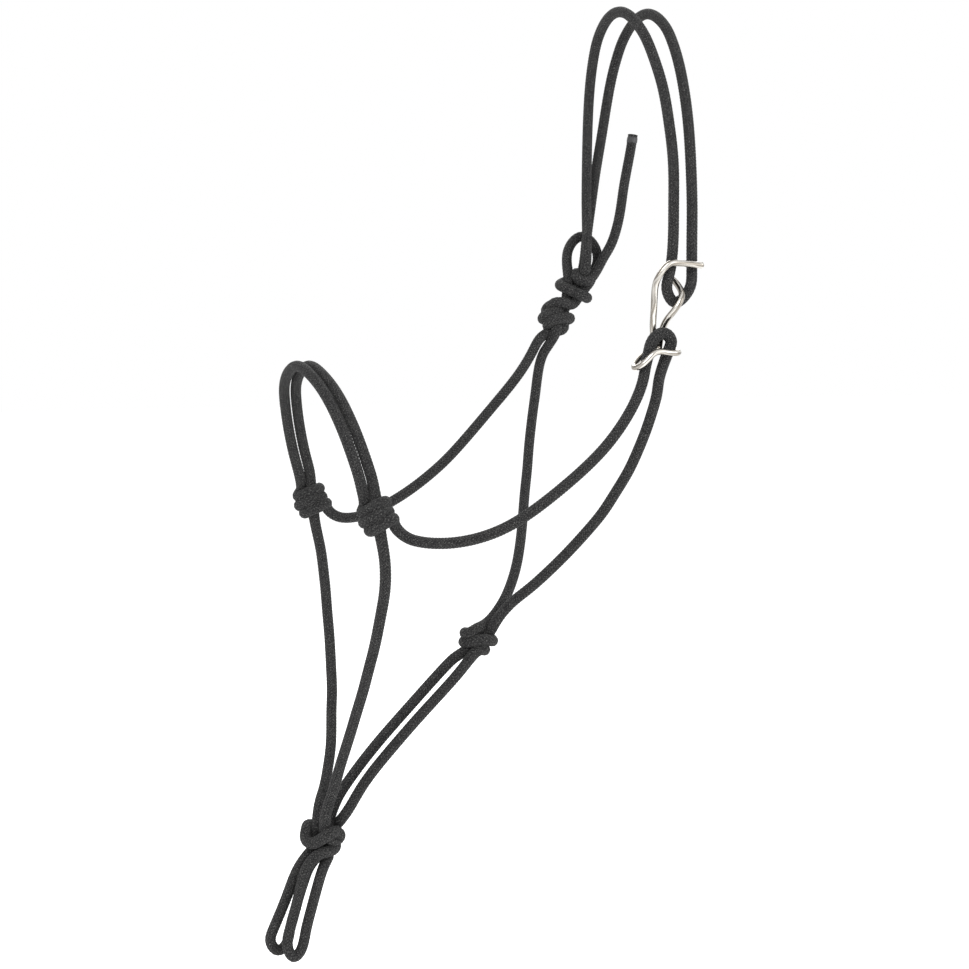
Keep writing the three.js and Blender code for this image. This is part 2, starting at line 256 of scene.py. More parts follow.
def lengths_along(line):
    return np.concatenate([[0], np.cumsum(np.linalg.norm(np.diff(line, axis=0), axis=1))])


def respaced(line, step):
    """The same polyline with evenly spaced points about one step apart."""
    along = lengths_along(line)
    even = np.linspace(0, along[-1], max(4, int(round(along[-1] / step)) + 1))
    return np.stack([np.interp(even, along, line[:, axis]) for axis in range(3)], axis=1)


def outside(line, *reaches):
    """The one stretch of the line that is further than each reach from its knot's centre."""
    keep = np.ones(len(line), bool)
    for centre, reach in reaches:
        keep &= np.linalg.norm(line - centre, axis=1) > reach
    where = np.flatnonzero(keep)
    return line[where[0]:where[-1] + 1]


# ---- knots: strands settled as chains of beads ------------------------------------
BEAD = 0.0024
HELD_BEADS = 3
PRESSED = 0.0068  # between the centres of two ropes drawn hard against each other
TREFOIL_SCALE = 0.0125
TREFOIL_RISE = (0, 1.2, 0)
OPENING = 0.5  # radians left out on each side of the trefoil's opened lobe
SIDE_BY_SIDE = 0.6 * ROPE
GATHER = 0.012  # share of the way to the knot's centre that a bead is drawn in one round
LIGHT_GATHER = 0.002
BEND_GATHER = 0.004
OVERHAND_ROUNDS = 420
WRAP_ROUNDS = 160
BEND_ROUNDS = 240
WRAP_TAKE_UP = 0.97  # a wrap's settled length over its drawn course
SPACING_PULL = 0.45
CHAIN_PUSH = 0.25
CORE_PUSH = 0.4
BEND_EASE = 0.12


def loose_overhand(centre, out, up, hand):
    """A loose overhand: the trefoil (sin t + 2 sin 2t, cos t - 2 cos 2t, -sin 3t), opened at its low lobe.

    The rope comes in against `out` and leaves along it; `up` points from the opened lobe to the knot, and
    `hand` is 1 or -1, for the knot or its mirror image."""
    t = np.linspace(math.pi + OPENING, 3 * math.pi - OPENING, 40)
    shape = np.stack([np.sin(t) + 2 * np.sin(2 * t), np.cos(t) - 2 * np.cos(2 * t), -np.sin(3 * t)], axis=1)
    lead = np.array([[5.0, -4.2, 0.2], [3.4, -4.3, 0.3], [1.9, -4.1, 0.5], [0.9, -3.4, 0.8]])
    tie = np.concatenate([lead, shape, (lead * (-1, 1, -1))[::-1]])
    out = np.array(out, float) / np.linalg.norm(out)
    up = np.array(up, float) - out * np.dot(up, out)
    up /= np.linalg.norm(up)
    side = np.cross(out, up)
    tie = tie + TREFOIL_RISE
    return centre + TREFOIL_SCALE * (tie[:, :1] * -out + tie[:, 1:2] * up + hand * tie[:, 2:] * side)


def beside(line, offset):
    """The line shifted sideways by the offset along a normal that turns as little as it can."""
    _, normal, _ = frames(line)
    return line + offset * normal


def bead_chain(start, loose, finish, length):
    """Beads for one strand: three held on the rope coming in, the loose tie, and three held going out."""
    inner = max(6, int(round(length / BEAD)) - 1)
    line = np.concatenate([start[-1:], loose, finish[:1]])
    along = lengths_along(line)
    even = np.linspace(0, along[-1], inner + 2)[1:-1]
    tie = np.stack([np.interp(even, along, line[:, axis]) for axis in range(3)], axis=1)
    return np.concatenate([start, tie, finish])


def tighten(chains, rounds, centre, obstacles, gather):
    """Settles bead chains against each other and against the fixed obstacles.

    The spacing to reach goes from the loose tie's to BEAD over the first three fifths of the rounds.
    Each round draws the beads a share of the way to the centre, moves linked beads towards that
    spacing, pushes apart beads nearer than PRESSED, and eases each bend. The last fifth of the
    rounds keeps the spacing and doesn't draw the beads in."""
    sizes = [len(chain) for chain in chains]
    beads = np.concatenate(chains)
    owner = np.repeat(np.arange(len(chains)), sizes)
    place = np.concatenate([np.arange(size) for size in sizes])
    last = np.cumsum(sizes) - 1
    first = last - np.array(sizes) + 1
    held = (place < HELD_BEADS) | (place >= np.array(sizes)[owner] - HELD_BEADS)
    linked = (owner[1:] == owner[:-1])
    start_rest = np.linalg.norm(np.diff(beads, axis=0), axis=1)
    near_in_chain = int(math.ceil(1.5 * PRESSED / BEAD))
    may_touch = (owner[:, None] != owner[None]) | (np.abs(place[:, None] - place[None]) > near_in_chain)
    inner = np.concatenate([[False], linked[1:] & linked[:-1], [False]])
    free = (~held)[:, None].astype(float)
    settle = int(rounds * 0.8)
    for turn in range(rounds):
        share = min(1.0, turn / (rounds * 0.6))
        if turn < settle:
            rest = start_rest + (BEAD - start_rest) * share
            beads += gather * (centre - beads) * free
        step = np.diff(beads, axis=0)
        far = np.linalg.norm(step, axis=1)
        pull = np.where(linked, SPACING_PULL * (far - rest) / np.maximum(far, 1e-9), 0)[:, None] * step
        beads[:-1] += pull * free[:-1]
        beads[1:] -= pull * free[1:]
        gap = beads[:, None] - beads[None]
        apart = np.sqrt((gap ** 2).sum(axis=2)) + 1e-9
        push = np.where(may_touch & (apart < PRESSED), (PRESSED - apart) / apart, 0)
        beads += CHAIN_PUSH * (push[:, :, None] * gap).sum(axis=1) * free
        gap = beads[:, None] - obstacles[None]
        apart = np.sqrt((gap ** 2).sum(axis=2)) + 1e-9
        push = np.where(apart < PRESSED, (PRESSED - apart) / apart, 0)
        beads += CORE_PUSH * (push[:, :, None] * gap).sum(axis=1) * free
        bend = np.zeros_like(beads)
        bend[1:-1] = beads[:-2] + beads[2:] - 2 * beads[1:-1]
        beads += BEND_EASE * bend * inner[:, None] * free
    return [beads[a:b + 1] for a, b in zip(first, last)]


def last_beads(line):
    """The three beads, one spacing apart, that end a rope run."""
    along = lengths_along(line)
    at = along[-1] - BEAD * np.arange(HELD_BEADS - 1, -1, -1)
    return np.stack([np.interp(at, along, line[:, axis]) for axis in range(3)], axis=1)


def strand_line(beads):
    """A knot's strand from its tight chain, without the held beads that lie inside the runs."""
    return smooth_line(beads[HELD_BEADS - 1:len(beads) - HELD_BEADS + 1], LINE_STEP)


def towards(lines, run):
    """A run's line, turned so that it ends at the knot; `run` is its name and the end that meets the knot."""
    name, end = run
    return lines[name] if end == "finish" else lines[name][::-1]


def doubled_overhand(lines, centre, coming_in, going_out, up, length, hand, obstacles):
    """An overhand knot tied in two strands side by side: strand n comes in and goes out by run n."""
    starts = [last_beads(towards(lines, run)) for run in coming_in]
    finishes = [last_beads(towards(lines, run))[::-1] for run in going_out]
    out = np.mean([f[0] for f in finishes], axis=0) - np.mean([s[-1] for s in starts], axis=0)
    middle = loose_overhand(centre, out, up, hand)
    chains = [
        bead_chain(start, beside(middle, side * SIDE_BY_SIDE), finish, length)
        for side, start, finish in zip((1, -1), starts, finishes)
    ]
    tight = tighten(chains, OVERHAND_ROUNDS, centre, obstacles, GATHER)
    tied = [strand_line(chain) for chain in tight]
    return [[*ends, line] for *ends, line in zip(coming_in, going_out, tied)]


def core_strand(lines, coming_in, going_out, through):
    """A strand that runs nearly straight through a knot."""
    start, finish = towards(lines, coming_in), towards(lines, going_out)
    return [coming_in, going_out, smooth_line([start[-1], *through, finish[-1]], LINE_STEP)]


def wrapping_strand(lines, coming_in, going_out, through, centre, cores):
    """A strand that winds round the cores, settled until it lies on them and on its own turns."""
    start, finish = towards(lines, coming_in), towards(lines, going_out)
    route = smooth_line([start[-1], *through, finish[-1]], LINE_STEP)
    length = lengths_along(route)[-1] * WRAP_TAKE_UP
    chain = bead_chain(last_beads(start), route[1:-1], last_beads(finish)[::-1], length)
    obstacles = np.concatenate([respaced(line, BEAD) for _, _, line in cores])
    tied, = tighten([chain], WRAP_ROUNDS, centre, obstacles, LIGHT_GATHER)
    return [coming_in, going_out, strand_line(tied)]


EASE_REACH = 0.011
EASE_ROUNDS = 90


def ease_joins(lines, strands):
    """Rounds off the small kinks where strands meet their runs, moving points of both near each meeting."""
    for strand in strands:
        for which in (0, 1):
            run = strand[which]
            if run is None:
                continue
            incoming = towards(lines, run)
            knot = strand[2] if which == 0 else strand[2][::-1]
            both = np.concatenate([incoming, knot[1:]])
            meeting = len(incoming) - 1
            away = np.abs(lengths_along(both) - lengths_along(both)[meeting])
            weight = np.clip(1 - away / EASE_REACH, 0, 1)[1:-1, None]
            for _ in range(EASE_ROUNDS):
                both[1:-1] += 0.5 * weight * ((both[:-2] + both[2:]) / 2 - both[1:-1])
            incoming, knot = both[:meeting + 1], both[meeting:]
            lines[run[0]] = incoming if run[1] == "finish" else incoming[::-1]
            strand[2] = knot if which == 0 else knot[::-1]


# ---- tubes ----------------------------------------------------------------------
def frames(line):
    """Tangent, normal and binormal at each point, with the normal carried along without twist."""
    tangent = np.gradient(line, axis=0)
    tangent /= np.linalg.norm(tangent, axis=1)[:, None]
    normal = np.zeros_like(line)
    seed = np.array([0.0, 0.0, 1.0]) if abs(tangent[0, 2]) < 0.8 else np.array([1.0, 0.0, 0.0])
    carried = seed
    for i, along in enumerate(tangent):
        carried = carried - along * carried.dot(along)
        carried = carried / math.sqrt(carried.dot(carried))
        normal[i] = carried
    return tangent, normal, np.cross(tangent, normal)


def yarn_height(around, along):
    """Height of the braid's surface, 0 to 1, for yarns of a two-over, two-under diamond braid.

    a and b count the yarns of the two directions; each yarn is a half-round ridge across its width
    and rises and dips once every four crossings; the higher of the two yarns shows."""
    a = YARNS_EACH_WAY * around + along / YARN_PITCH
    b = YARNS_EACH_WAY * around - along / YARN_PITCH
    ridge_a = np.sqrt(np.clip(1 - (2 * (a % 1) - 1) ** 2, 0, 1))
    ridge_b = np.sqrt(np.clip(1 - (2 * (b % 1) - 1) ** 2, 0, 1))
    over_a = 0.55 + 0.45 * np.cos(math.pi / 2 * (b + np.floor(a) - 1))
    over_b = 0.55 - 0.45 * np.cos(math.pi / 2 * (a + np.floor(b) - 1))
    return np.maximum(ridge_a * over_a, ridge_b * over_b)


def new_piece(name, vertices, faces, material, uv):
    mesh = bpy.data.meshes.new(name)
    mesh.vertices.add(len(vertices))
    mesh.vertices.foreach_set("co", np.ascontiguousarray(vertices, np.float32).ravel())
    sizes = np.array([len(face) for face in faces])
    corners = np.concatenate(faces)
    mesh.loops.add(len(corners))
    mesh.loops.foreach_set("vertex_index", corners.astype(np.int32))
    mesh.polygons.add(len(sizes))
    mesh.polygons.foreach_set("loop_start", np.concatenate([[0], np.cumsum(sizes)[:-1]]).astype(np.int32))
    mesh.polygons.foreach_set("use_smooth", np.ones(len(sizes), bool))
    layer = mesh.uv_layers.new(name="yarns")
    layer.data.foreach_set("uv", uv.astype(np.float32).ravel())
    mesh.update(calc_edges=True)
    mesh.validate()
    mesh.materials.append(material)
    piece = bpy.data.objects.new(name, mesh)
    bpy.context.collection.objects.link(piece)
    return piece


def tube_mesh(line, radius, sides, relief=0.0):
    """A closed tube with flat ends: centre + (radius + braid height) (cos a normal + sin a binormal)."""
    _, normal, binormal = frames(line)
    along = lengths_along(line)
    around = np.arange(sides) / sides
    angle = 2 * math.pi * around
    reach = np.zeros((len(line), sides)) + radius
    if relief:
        reach += relief * (yarn_height(around[None], along[:, None]) - MEAN_YARN_HEIGHT)
    cosine, sine = np.cos(angle)[None, :, None], np.sin(angle)[None, :, None]
    outward = cosine * normal[:, None] + sine * binormal[:, None]
    shell = line[:, None] + reach[:, :, None] * outward
    rings = len(line)
    ring, side = np.meshgrid(np.arange(rings - 1), np.arange(sides), indexing="ij")
    across = (side + 1) % sides
    this_ring, next_ring = ring * sides, (ring + 1) * sides
    quads = np.stack([this_ring + side, this_ring + across, next_ring + across, next_ring + side], axis=-1)
    uv_around = np.stack([side, side + 1, side + 1, side], axis=-1) / sides
    uv_along = np.stack([along[ring], along[ring], along[ring + 1], along[ring + 1]], axis=-1)
    uv = np.stack([uv_around, uv_along], axis=-1).reshape(-1, 2)
    start_cap = np.arange(sides)[::-1]
    end_cap = (rings - 1) * sides + np.arange(sides)
    faces = list(quads.reshape(-1, 4)) + [start_cap, end_cap]
    cap_uv = np.concatenate([
        np.stack([around[::-1], np.zeros(sides)], axis=1),
        np.stack([around, np.full(sides, along[-1])], axis=1),
    ])
    return shell.reshape(-1, 3), faces, np.concatenate([uv, cap_uv])


def fullness(line):
    """How much thicker the braid is near a knot: 1 + KNOT_FULLNESS exp(-(distance / KNOT_REACH)^2)."""
    places = np.array([*KNOTS.values(), EYE_CENTRE])
    away = np.linalg.norm(line[:, None] - places[None], axis=2)
    return 1 + (KNOT_FULLNESS * np.exp(-(away / KNOT_REACH) ** 2)).max(axis=1)


def rope_piece(name, line):
    line = respaced(line, ROPE_STEP)
    vertices, faces, uv = tube_mesh(line, ROPE / 2 * fullness(line)[:, None], ROPE_SIDES, YARN_RELIEF)
    return new_piece(name, vertices, faces, ROPE_FINISH, uv)


# ---- shader expressions -------------------------------------------------------
class Socket:
    """A node's output that takes + - * / and gives the matching Math node's output."""

    def __init__(self, tree, output):
        self.tree = tree
        self.output = output

    def math(self, operation, *others):
        return self.tree.node("ShaderNodeMath", {"operation": operation}, [self, *others])

    def __add__(self, other):
        return self.math("ADD", other)

    __radd__ = __add__

    def __sub__(self, other):
        return self.math("SUBTRACT", other)

    def __rsub__(self, other):
        return self.tree.node("ShaderNodeMath", {"operation": "SUBTRACT"}, [other, self])

    def __mul__(self, other):
        return self.math("MULTIPLY", other)

    __rmul__ = __mul__

    def __truediv__(self, other):
        return self.math("DIVIDE", other)

    def __pow__(self, other):
        return self.math("POWER", other)

    def floor(self):
        return self.math("FLOOR")

    def fract(self):
        return self.math("FRACT")

    def cos(self):
        return self.math("COSINE")

    def sqrt(self):
        return self.math("SQRT")

    def above(self, edge):
        return self.math("GREATER_THAN", edge)

    def highest(self, other):
        return self.math("MAXIMUM", other)

    def lowest(self, other):
        return self.math("MINIMUM", other)

    def clamped(self):
        return self.highest(0).lowest(1)


class Tree:
    """A material's nodes. node() adds one; its inputs are values or Sockets, in order or by name."""

    def __init__(self, name):
        self.material = bpy.data.materials.new(name)
        self.material.use_nodes = True
        self.nodes = self.material.node_tree.nodes
        self.links = self.material.node_tree.links
        self.nodes.clear()

    def node(self, kind, settings=None, inputs=(), output=0):
        made = self.nodes.new(kind)
        for key, value in (settings or {}).items():
            setattr(made, key, value)
        pairs = inputs.items() if isinstance(inputs, dict) else enumerate(inputs)
        for key, value in pairs:
            if isinstance(value, Socket):
                self.links.new(value.output, made.inputs[key])
            else:
                made.inputs[key].default_value = value
        return Socket(self, made.outputs[output])

    def noise(self, place, scale, detail, **others):
        inputs = {"Vector": place, "Scale": scale, "Detail": detail, **others}
        return self.node("ShaderNodeTexNoise", None, inputs)

    def object_place(self):
        return self.node("ShaderNodeTexCoord", output=3)

    def tube_place(self):
        """The share of the way around the tube, and the metres along it."""
        uv = self.node("ShaderNodeUVMap", {"uv_map": "yarns"})
        around = self.node("ShaderNodeSeparateXYZ", None, [uv])
        return around, Socket(self, around.output.node.outputs[1])

    def mix_colour(self, factor, low, high):
        low, high = [c if isinstance(c, Socket) else (*c, 1) for c in (low, high)]
        return self.node("ShaderNodeMix", {"data_type": "RGBA"}, {0: factor, 6: low, 7: high}, output=2)

    def finish(self, **inputs):
        shader = self.node("ShaderNodeBsdfPrincipled", None, {
            name.replace("_", " "): value for name, value in inputs.items()
        })
        surface = self.nodes.new("ShaderNodeOutputMaterial").inputs["Surface"]
        self.links.new(shader.output, surface)
        return self.material


# ---- materials ------------------------------------------------------------------
# Painted shade: the deepest charcoal, laid into the grooves between the yarns.
CHARCOAL_GROOVE_SHADE = (0.0025, 0.0025, 0.003)
CHARCOAL = (0.015, 0.015, 0.0155)
CHARCOAL_WORN = (0.19, 0.187, 0.18)
NICKEL_DULL = (0.50, 0.475, 0.43)
NICKEL_BRIGHT = (0.78, 0.76, 0.72)
# Painted reflection: the darkened colour that the streaks on the nickel take, in place of dark surroundings
# mirrored in it.
NICKEL_DARK_REFLECTION = (0.135, 0.115, 0.09)
SEALED_DEEP = (0.010, 0.010, 0.011)
SEALED_PALE = (0.045, 0.045, 0.048)
FILAMENTS = 5  # that show across one yarn


def braided_rope():
    """Charcoal braid: painted shade in the grooves between the yarns, fine filaments along each yarn, and
    dusty fibre ends.
    """
    tree = Tree("braided_rope")
    around, along = tree.tube_place()
    a = around * YARNS_EACH_WAY + along / YARN_PITCH
    b = around * YARNS_EACH_WAY - along / YARN_PITCH
    place = tree.object_place()
    wander = tree.noise(place, 900.0, 3.0)
    ridge_a, ridge_b = [(1 - ((strand.fract() * 2 - 1) ** 2)).highest(0).sqrt() for strand in (a, b)]
    over_a = 0.55 + 0.45 * ((b + a.floor() - 1) * (math.pi / 2)).cos()
    over_b = 0.55 - 0.45 * ((a + b.floor() - 1) * (math.pi / 2)).cos()
    height_a = ridge_a * over_a
    height_b = ridge_b * over_b
    height = height_a.highest(height_b)
    a_shows = height_a.above(height_b)
    thread_a, thread_b = [
        ((strand.fract() * FILAMENTS + wander * 0.9) * (2 * math.pi)).cos() for strand in (a, b)
    ]
    thread = thread_a * a_shows + thread_b * (1 - a_shows)
    dust = tree.noise(place, 2000.0, 2.0, Roughness=0.6)
    broad = tree.noise(place, 45.0, 2.0)
    specks = ((dust - 0.53) * 8).clamped() * height
    # Painted shade: darker where the yarns' crowns are low, in the grooves between them, mixed with filament
    # stripes and random tone.
    groove_shade_and_tone = ((height - 0.45) * 1.7 + thread * 0.2 + (broad - 0.5) * 0.6).clamped()
    colour = tree.mix_colour(groove_shade_and_tone, CHARCOAL_GROOVE_SHADE, CHARCOAL)
    colour = tree.mix_colour(specks * 0.75, colour, CHARCOAL_WORN)
    relief = height * 0.8 + thread * 0.22 + dust * 0.25
    bump = tree.node("ShaderNodeBump", None, {"Strength": 0.9, "Distance": 0.0003, "Height": relief})
    return tree.finish(
        Base_Color=colour, Roughness=0.82 - specks * 0.1, Normal=bump,
        Sheen_Weight=0.03, Sheen_Roughness=0.5, Specular_IOR_Level=0.22,
    )


def nickel_wire():
    """Nickel plate over bent wire: painted reflections as darkened streaks along and around the wire between
    brighter stretches, and small dings.
    """
    tree = Tree("nickel_wire")
    around, along = tree.tube_place()
    place = tree.object_place()
    haze = tree.noise(place, 700.0, 4.0)
    wear = tree.noise(place, 130.0, 3.0)
    wander = tree.noise(place, 55.0, 2.0)
    turn = around * (2 * math.pi)
    # Painted reflections: streaks round and along the wire darken its colour where the ropes and studio would
    # show mirrored in it.
    reflection_streak = (turn * 3 + wander * 9 + along * 60).cos() * 0.5 + (turn * 5 + wander * 14).cos() * 0.5
    dark_reflection_mask = ((reflection_streak + 0.45) * 1.5).clamped()
    colour = tree.mix_colour(wear, NICKEL_DULL, NICKEL_BRIGHT)
    colour = tree.mix_colour(dark_reflection_mask * 0.8, colour, NICKEL_DARK_REFLECTION)
    bump = tree.node("ShaderNodeBump", None, {"Strength": 0.1, "Distance": 0.0002, "Height": haze + wear})
    return tree.finish(Base_Color=colour, Metallic=1.0, Roughness=0.12 + haze * 0.14, Normal=bump)


def sealed_end():
    """Rope end melted to a smooth black bead."""
    tree = Tree("sealed_end")
    flow = tree.noise(tree.object_place(), 420.0, 3.0)
    bump = tree.node("ShaderNodeBump", None, {"Strength": 0.5, "Distance": 0.0004, "Height": flow})
    colour = tree.mix_colour(flow, SEALED_DEEP, SEALED_PALE)
    return tree.finish(Base_Color=colour, Roughness=0.32 + flow * 0.25, Normal=bump)


ROPE_FINISH = braided_rope()
NICKEL_FINISH = nickel_wire()
SEALED_FINISH = sealed_end()


# ---- the halter's lines -----------------------------------------------------------
NOSE_REACH = 0.0185
CHEEK_REACH = 0.0175
THROAT_REACH = 0.0185
FIADOR_REACH = 0.022
BEND_REACH = 0.0185
LINE_LEAN = 2.6  # millimetres that each fiador line is drawn to its own side of their shared course
OVERHAND_LENGTH = 0.095
BEND_LENGTH = 0.127
UP_THE_VIEW = (0.034, 0.080, 0.996)


def rope_lines():
    """Every run of rope between its knots."""
    near, far = [(KNOTS[name], NOSE_REACH) for name in ("nose_near", "nose_far")]
    bend = (KNOTS["bend"], BEND_REACH)
    cheek = (KNOTS["cheek"], CHEEK_REACH)
    throat = (KNOTS["throat"], THROAT_REACH)
    fiador = (KNOTS["fiador"], FIADOR_REACH)
    crown = np.concatenate([
        CROWN_FRONT_FAR[::-1], CROWN_FRONT_NEAR, CROWN_BIGHT, CROWN_REAR_NEAR, CROWN_REAR_FAR,
    ])
    near_leg = np.concatenate([CHEEK_NEAR, EYE_NEAR, THROAT_NEAR])
    half = (NOSEBAND_SPACING / 2, 0, 0)
    courses = {
        "crown": (crown, bend),
        "near_side": (near_leg, near, throat),
        "cheek_far": (CHEEK_FAR, cheek, far),
        "throat_far": (THROAT_FAR, cheek, throat),
        "chin_far": (CHIN_FAR, far, fiador),
        "chin_near": (CHIN_NEAR, near, fiador),
        "noseband_front": (NOSEBAND - half, near, far),
        "noseband_rear": (NOSEBAND + half, near, far),
        "loop_near": (LEAD_LOOP_NEAR, fiador),
        "loop_far": (LEAD_LOOP_FAR, fiador),
        "eye_far": (FAR_EYE, bend),
        "tail": (TAIL, bend),
        "line_near": (fiador_line(-1, LINE_LEAN), throat, fiador),
        "line_far": (fiador_line(1, -LINE_LEAN), throat, fiador),
    }
    return {
        name: outside(smooth_line(course, LINE_STEP), *knots)
        for name, (course, *knots) in courses.items()
    }


def turned(degrees):
    """A level direction, anticlockwise from ahead of the halter's near side."""
    return (math.cos(math.radians(degrees)), math.sin(math.radians(degrees)), 0.0)


def at_knot(knot, points):
    """Points in millimetres from a knot's centre: across the halter's near front, up, and out towards it."""
    across, outward = turned(-23), turned(-113)
    axes = np.array([across, UP_THE_VIEW, outward])
    return KNOTS[knot] + mm(points) @ axes


def nose_knot(lines, side, drop):
    """The rear noseband strand goes on as the chin rope; the front one winds round it to the cheek rope."""
    knot = f"nose_{side}"
    end = "finish" if side == "near" else "start"
    cheek = ("near_side", "start") if side == "near" else ("cheek_far", "finish")
    shift = (0, drop, 0)
    core = core_strand(
        lines, ("noseband_rear", end), (f"chin_{side}", "start"),
        at_knot(knot, np.array([[0, 8, 0], [1.5, 0, -0.5], [2, -8, 0]]) + shift))
    turns = at_knot(knot, np.array([
        [-8, 11, -4], [-12.5, 7, -4], [-13, 3.5, 1], [-9.5, 4.5, 6], [-3, 7, 8.5], [3, 10, 6.5], [6, 11.5, 0],
        [2, 7, -7.5], [-5, 0, -8], [-10.5, -4, -4], [-11.5, -6, 1], [-7, -4, 7], [0, 1, 10], [5.5, 6, 8.5],
        [9, 9, 1], [6, 5, -7], [-2, -4, -8], [-7.5, -9.5, -4], [-7, -10.5, 1], [-1, -8, 8], [5.5, -3, 10],
        [10.5, 2.5, 7.5], [14, 3, 2], [14.5, -2, -1], [12.5, -7, -3],
    ]) + shift)
    return [core, wrapping_strand(lines, ("noseband_front", end), cheek, turns, KNOTS[knot], [core])]


def throat_knot(lines):
    """The near throat rope goes straight on as one fiador line; the far one winds round it to the other."""
    core = core_strand(
        lines, ("near_side", "finish"), ("line_far", "start"),
        at_knot("throat", [[9, 6, -2], [0, 0, -2], [-8, -8, -1]]))
    turns = at_knot("throat", [
        [7, 11, -3], [2, 13, 2], [-4, 11.5, 6.5], [-9.5, 6.5, 6.5], [-13, 0, 2], [-10, -3.5, -6],
        [1, 1.5, -10], [9, 5, -7], [13.5, 1.5, 0], [11, -1, 6], [4, 2.5, 9.5], [-3, 2.5, 10],
        [-9, -2.5, 7], [-11, -7.5, 0], [-5, -9, -7], [3, -10, -6], [8.3, -11, 0], [5, -8, 6],
        [-1.5, -8.5, 7], [-4, -12, 3],
    ])
    wound = wrapping_strand(
        lines, ("throat_far", "finish"), ("line_near", "start"), turns, KNOTS["throat"], [core])
    return [core, wound]


def sheet_bend(lines):
    """The crown's front strand goes down through the eye, round both legs and over itself as the free tail.

    The eye's legs run straight down to the cheek knot; the crown's rear strand ends between them."""
    eye = lines["eye_far"]
    left = at_knot("bend", [[-6.7, 10.8, 0], [-7.2, -1, 0], [-8.2, -10, 0], [-9.6, -17, 0]])
    right = at_knot("bend", [[9.5, 2, -1], [1.5, -8, 0], [-2.2, -17, 0]])
    legs = [
        [("eye_far", "start"), None, smooth_line([eye[0], *left], LINE_STEP)],
        [("eye_far", "finish"), None, smooth_line([eye[-1], *right], LINE_STEP)],
    ]
    end_in = at_knot("bend", [[4, 8, -7], [1.5, 2, -8.5]])
    tucked = [("crown", "finish"), None, smooth_line([lines["crown"][-1], *end_in], LINE_STEP)]
    wrap = at_knot("bend", [
        [7.5, 10, 0], [8.5, 5, -5], [11.5, 0, -9], [14, -7, -5], [11.5, -14, 3], [3, -16, 8], [-6, -13.5, 8],
        [-13.5, -5, 4], [-16, 2, -2], [-13.5, 8, -7], [-7, 9, -8], [-1, 6, -5], [3, 5, 2], [9, 9, 7.5],
        [15, 17, 9],
    ])
    start = last_beads(lines["crown"][::-1])
    finish = last_beads(lines["tail"][::-1])[::-1]
    chain = bead_chain(start, wrap, finish, BEND_LENGTH)
    fixed = (legs[0][2], legs[1][2], eye[6:-6], tucked[2][8:])
    obstacles = np.concatenate([respaced(line, BEAD) for line in fixed])
    tied, = tighten([chain], BEND_ROUNDS, KNOTS["bend"], obstacles, BEND_GATHER)
    wrapped = [("crown", "start"), ("tail", "start"), strand_line(tied)]
    return [*legs, tucked, wrapped]


def cheek_knot(lines, bend):
    """The eye's two legs go on as the far cheek and throat ropes."""
    lines["leg_left"], lines["leg_right"] = bend[0][2], bend[1][2]
    return doubled_overhand(
        lines, KNOTS["cheek"], [("leg_right", "finish"), ("leg_left", "finish")],
        [("throat_far", "start"), ("cheek_far", "start")], turned(65), OVERHAND_LENGTH, -1,
        respaced(bend[3][2], BEAD))


def fiador_knot(lines):
    """The two near strands wind round the two far ones; all four go on as the lead loops."""
    centre = KNOTS["fiador"]
    cores = [
        core_strand(
            lines, ("chin_far", "finish"), ("loop_far", "start"),
            at_knot("fiador", [[-4.5, 7, -4], [-6.5, -2, -4], [-6, -8, -3]])),
        core_strand(
            lines, ("line_far", "finish"), ("loop_far", "finish"),
            at_knot("fiador", [[4, 7, -4], [3, -7, -3]])),
    ]
    over = at_knot("fiador", [
        [1, 12, 7], [1, 5, 4], [7, -4, 1], [14, -5, -2], [17, 1.5, 2], [12, 7, 7], [3, 2, 11], [-6, -4.5, 11],
        [-13.5, -5, 8], [-17, 2, 2], [-13, 9.5, -5], [-5, 9, -11], [0, -3, -11], [1, -13, -6],
    ])
    under = at_knot("fiador", [
        [10, 9, -3], [5, 2, -11], [-2, -6, -11], [3, -12, -8], [11, -15, -3], [10, -14.5, 4], [1, -11.5, 9],
        [-6, -13.5, 9],
    ])
    wraps = [
        wrapping_strand(lines, ("chin_near", "finish"), ("loop_near", "finish"), over, centre, cores),
    ]
    wraps.append(wrapping_strand(
        lines, ("line_near", "finish"), ("loop_near", "start"), under, centre, cores + wraps))
    return cores + wraps


def build_ropes(lines):
    """One tube for each run, in place of its frame parts; a run is attached to the body in its row, or left
    unattached with its placement baked in where it has none.
    """
    runs = [
        ("crown_rope", "crown", ["crown_front_far", "crown_rear_far", "crown_front_near", "crown_rear_near",
                                 "crown_bight"], None),
        ("near_side_rope", "near_side", ["cheek_rope_near", "cheek_eye_near", "throat_rope_near"], None),
        ("cheek_rope_far_braid", "cheek_far", ["cheek_rope_far"], "root"),
        ("throat_rope_far_braid", "throat_far", ["throat_rope_far"], "root"),
        ("chin_rope_far_braid", "chin_far", ["chin_rope_far"], "root"),
        ("chin_rope_near_braid", "chin_near", ["chin_rope_near"], "root"),
        ("fiador_line_near_braid", "line_near", ["fiador_line_near"], "root"),
        ("fiador_line_far_braid", "line_far", ["fiador_line_far"], "root"),
        ("noseband_front_braid", "noseband_front", ["noseband_front"], None),
        ("noseband_rear_braid", "noseband_rear", ["noseband_rear"], None),
        ("lead_loop_near_braid", "loop_near", ["lead_loop_near"], None),
        ("lead_loop_far_braid", "loop_far", ["lead_loop_far"], None),
        ("cheek_eye_far_braid", "eye_far", ["cheek_eye_far"], "root"),
        ("tail_braid", "tail", ["tail"], None),
    ]
    for name, line_name, nodes, body in runs:
        line = lines[line_name]
        piece = rope_piece(name, line)
        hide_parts(*nodes)
        if body:
            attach(piece, body)
        else:
            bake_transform(piece)


def build_knot(name, strands):
    for number, (_, _, line) in enumerate(strands, 1):
        piece = rope_piece(f"{name}_strand_{number}", line)
        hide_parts(name)
        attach(piece, "root")


